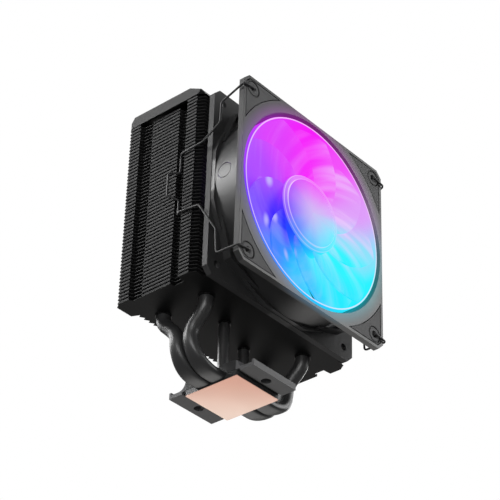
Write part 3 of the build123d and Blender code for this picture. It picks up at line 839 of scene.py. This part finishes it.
def buildHeatPipe(name, node, side):
    half = splinePoints(heatPipes["line"], 3, 24)
    turned = [Vector((-p.x, side * p.y, p.z)) for p in reversed(half[1:])]
    whole = turned + [Vector((p.x, side * p.y, p.z)) for p in half]
    line = spacedOut(whole, heatPipes["stations"] * 2)
    travel = (line[1] - line[0]).length / mm

    def sizeAt(index):
        fromMiddle = abs(index - heatPipes["stations"]) * travel
        share = (fromMiddle - heatPipes["flatUntil"]) / (heatPipes["roundFrom"] - heatPipes["flatUntil"])
        share = eased(min(max(share, 0.0), 1.0))
        wide = between(heatPipes["flatHalfWidth"], heatPipes["round"], share)
        tall = between(heatPipes["flatHalfHeight"], heatPipes["round"], share)
        return wide * mm, tall * mm, between(heatPipes["flatSquareness"], 1.0, share)

    bm = bmesh.new()
    sweptTube(bm, line, sizeAt, heatPipes["sides"], Vector((0, 1, 0)))
    bmesh.ops.recalc_face_normals(bm, faces=bm.faces)
    finishPiece(name, bm, "cooler", "pipe", [node], 60)


buildHeatPipe("frontHeatPipe", "heat_pipe_front", -1)
buildHeatPipe("rearHeatPipe", "heat_pipe_rear", 1)
for side in ("left", "right"):
    easedCopy(side + "CentrePipe", "centre_pipe_" + side, "cooler", "pipe", 0.2)
print("pipes made")


# fin stack; lengths in mm
finShape = {
    "pitch": 2.25,
    "sheet": 0.38,
    "tabHeight": 1.36,
    "tabThickness": 0.4,
    "bendRadius": 0.36,
    # the side of a fin from back to front: half width and place along Y
    "side": [
        (60.7, 29.3),
        (62.4, 26.2),
        (62.4, 19.1),
        (60.4, 17.9),
        (60.4, 16.2),
        (60.1, 11.7),
        (60.1, -8.7),
        (57.6, -9.3),
        (57.6, -15.6),
        (62.4, -16.2),
        (62.4, -23.6),
        (60.3, -27.5),
    ],
    # outer X of each folded tab, and its back and front Y
    "tabs": [(62.8, 26.1, 19.2), (60.5, 11.6, -8.6), (62.8, -16.3, -23.5)],
    # half width, root Y, tip Y and number of teeth of each saw-toothed edge
    "backSaw": (47.7, 24.5, 26.2, 26),
    "frontSaw": (54.6, -28.4, -30.2, 30),
    # half width where the plain edge beside the teeth ends
    "backLand": 49.9,
    "frontLand": 55.8,
}


def sawEdge(startX, rootY, tipY, teeth):
    # slanting teeth from +startX to -startX
    pitch = 2 * startX / teeth
    points = []
    for tooth in range(teeth):
        left = startX - tooth * pitch
        points += [(left, rootY), (left - 0.75 * pitch, tipY)]
    return points + [(-startX, rootY)]


def finOutline():
    # right side, front teeth, left side, back teeth
    right = finShape["side"]
    left = [(-x, y) for x, y in reversed(right)]
    frontY, backY = right[-1][1], right[0][1]
    front = [(finShape["frontLand"], frontY)] + sawEdge(*finShape["frontSaw"])
    back = [(finShape["backLand"], backY)] + sawEdge(*finShape["backSaw"])
    front.append((-finShape["frontLand"], frontY))
    back.append((-finShape["backLand"], backY))
    return right + front + left + back[::-1]


def addSideTab(bm, side, tabX, backY, frontY, lowZ):
    # a tab folded up from the fin's side edge, with its bend rounded
    thickness = finShape["tabThickness"] * mm
    height = finShape["tabHeight"] * mm
    middle = Vector((side * (tabX * mm - thickness / 2), (backY + frontY) / 2 * mm, lowZ + height / 2))
    size = Matrix.Diagonal((thickness, (backY - frontY) * mm, height, 1))
    tab = bmesh.ops.create_cube(bm, size=1, matrix=Matrix.Translation(middle) @ size)
    outer = [v for v in tab["verts"] if side * v.co.x > side * middle.x and v.co.z < middle.z]
    fold = [e for e in outer[0].link_edges if e.other_vert(outer[0]) in outer]
    bmesh.ops.bevel(
        bm,
        geom=fold,
        offset=finShape["bendRadius"] * mm,
        offset_type="OFFSET",
        affect="EDGES",
        segments=2,
        profile=0.5,
        material=-1,
    )


def buildFins(name, node, lowZ, count):
    # one fin with its tabs, repeated upwards
    bm = bmesh.new()
    rim = [bm.verts.new((x * mm, y * mm, lowZ)) for x, y in finOutline()]
    sheet = bm.faces.new(rim)
    raised = bmesh.ops.extrude_face_region(bm, geom=[sheet])["geom"]
    tops = [g for g in raised if isinstance(g, bmesh.types.BMVert)]
    bmesh.ops.translate(bm, verts=tops, vec=(0, 0, finShape["sheet"] * mm))
    for tabX, backY, frontY in finShape["tabs"]:
        for side in (-1, 1):
            addSideTab(bm, side, tabX, backY, frontY, lowZ)
    bmesh.ops.recalc_face_normals(bm, faces=bm.faces)
    if count > 1:
        bmesh.ops.spin(
            bm,
            geom=bm.verts[:] + bm.edges[:] + bm.faces[:],
            cent=(0, 0, 0),
            axis=(0, 0, 1),
            dvec=(0, 0, finShape["pitch"] * mm),
            angle=0,
            steps=count - 1,
            use_duplicate=True,
        )
    finishPiece(name, bm, "cooler", "fin", [node], 40)


lowerCount = round((upperFinsZ - lowerFinsZ) / (finShape["pitch"] * mm))
upperCount = round((coverZ - upperFinsZ) / (finShape["pitch"] * mm))
dressNode("bottom_fin", "bottomFin")
buildFins("lowerFins", "lower_fins", lowerFinsZ, lowerCount)
buildFins("upperFins", "upper_fins", upperFinsZ, upperCount)
easedCopy("topCover", "top_cover", "cooler", "cover", 0.6)
print("fin stack made:", 1 + lowerCount + upperCount, "fins")


# fan
turnedCopy("fanFrame", "fan_frame", "cooler", "frame")
easedCopy("framePlug", "frame_plug", "cooler", "plug", 0.2)
for face in ("front", "rear"):
    for corner in ("top_left", "top_right", "bottom_left", "bottom_right"):
        node = face + "_pad_" + corner
        easedCopy(node + "_rubber", node, "cooler", "pad", 0.18)

# the turning part of the fan; lengths in mm, angles in degrees
rotor = {
    "blades": 9,
    "rootRadius": 22.0,
    "tipRadius": 55.2,
    "rootArc": 80,
    "tipArc": 56,
    "sweep": 26,
    "rootFront": 3.4,
    "tipFront": 1.6,
    "rootRear": 13.5,
    "tipRear": 11.5,
    "thickness": 0.9,
    "chordSteps": 14,
    "spanSteps": 12,
    # profiles from the axis outwards: radius, and depth behind the frame's front face
    "hub": [
        (0, 2.9),
        (20.5, 2.9),
        (20.5, 1.9),
        (20.9, 1.45),
        (21.5, 1.5),
        (22.5, 2.6),
        (22.7, 3.2),
        (22.7, 18.3),
        (21.4, 18.3),
        (21.4, 4.2),
        (0, 4.2),
    ],
    "cap": [(0, 0.82), (10, 0.84), (17, 0.98), (19.3, 1.25), (20.0, 1.7), (20.1, 2.4), (0, 2.4)],
    "ring": [(54.9, 1.0), (55.2, 0.6), (55.6, 0.5), (56.0, 0.62), (56.2, 1.0), (56.2, 14.8), (54.9, 14.8)],
    "steps": 96,
}


def rotorPoint(radius, angle, depth):
    # radius and depth in mm
    return Vector((radius * cos(angle) * mm, fanFrontY + depth * mm, fanCentreZ + radius * sin(angle) * mm))


def spunShape(bm, profile, closed):
    # turns a profile of (radius, depth) pairs about the fan's axis
    verts = [bm.verts.new(rotorPoint(radius, 0, depth)) for radius, depth in profile]
    edges = [bm.edges.new(pair) for pair in zip(verts, verts[1:])]
    if closed:
        edges.append(bm.edges.new((verts[-1], verts[0])))
    bmesh.ops.spin(
        bm,
        geom=verts + edges,
        cent=rotorPoint(0, 0, 0),
        axis=(0, 1, 0),
        dvec=(0, 0, 0),
        angle=2 * pi,
        steps=rotor["steps"],
        use_merge=True,
    )
    bmesh.ops.remove_doubles(bm, verts=bm.verts, dist=weldGap)
    bmesh.ops.recalc_face_normals(bm, faces=bm.faces)


def bladePoint(chord, span):
    # a point of the swept, twisted blade: chord runs across it, span out from the hub
    radius = between(rotor["rootRadius"], rotor["tipRadius"], span)
    arc = between(rotor["rootArc"], rotor["tipArc"], span)
    frontDepth = between(rotor["rootFront"], rotor["tipFront"], span)
    rearDepth = between(rotor["rootRear"], rotor["tipRear"], span)
    angle = radians(rotor["sweep"] * span ** 1.4 + arc * (chord - 0.5))
    return rotorPoint(radius, angle, between(frontDepth, rearDepth, 0.45 * chord + 0.55 * eased(chord)))


def buildBlades():
    # a grid bent to the blade's surface, thickened and repeated round the hub
    bm = bmesh.new()
    grid = bmesh.ops.create_grid(bm, x_segments=rotor["chordSteps"], y_segments=rotor["spanSteps"], size=1)
    for vert in grid["verts"]:
        vert.co = bladePoint((vert.co.x + 1) / 2, (vert.co.y + 1) / 2)
    bmesh.ops.recalc_face_normals(bm, faces=bm.faces)
    bmesh.ops.solidify(bm, geom=bm.faces[:], thickness=rotor["thickness"] * mm)
    bmesh.ops.spin(
        bm,
        geom=bm.verts[:] + bm.edges[:] + bm.faces[:],
        cent=rotorPoint(0, 0, 0),
        axis=(0, 1, 0),
        dvec=(0, 0, 0),
        angle=2 * pi * (1 - 1 / rotor["blades"]),
        steps=rotor["blades"] - 1,
        use_duplicate=True,
    )
    bmesh.ops.recalc_face_normals(bm, faces=bm.faces)
    finishPiece("rotorBlades", bm, "rotor", "blade", ["impeller"], 50)


def buildTurned(name, part, closed, replaced):
    # hub, ring or cap, from its profile
    bm = bmesh.new()
    spunShape(bm, rotor[part], closed)
    finishPiece(name, bm, "rotor", part, replaced, 40)


buildBlades()
buildTurned("rotorHub", "hub", False, [])
buildTurned("rotorRing", "ring", True, [])
buildTurned("hubCap", "cap", False, ["hub_cap"])

for side in ("left", "right"):
    easedCopy(side + "WireClip", side + "_clip", side + "_clip_body", "wire", 0, 60)
motorFinishes = {
    "rotor_yoke": "steel",
    "rotor_magnet": "magnet",
    "rotor_shaft": "steel",
    "retaining_clip": "nylon",
    "bearing_sleeve": "bronze",
    "thrust_pad": "nylon",
    "stator_core": "core",
    "coil_carriers": "nylon",
    "stator_coils": "coil",
    "motor_board": "board",
    "board_leds": "diode",
}
for node, finishName in motorFinishes.items():
    dressNode(node, finishName)
print("fan made")

scene.view_settings.view_transform = "Standard"
bpy.context.view_layer.update()
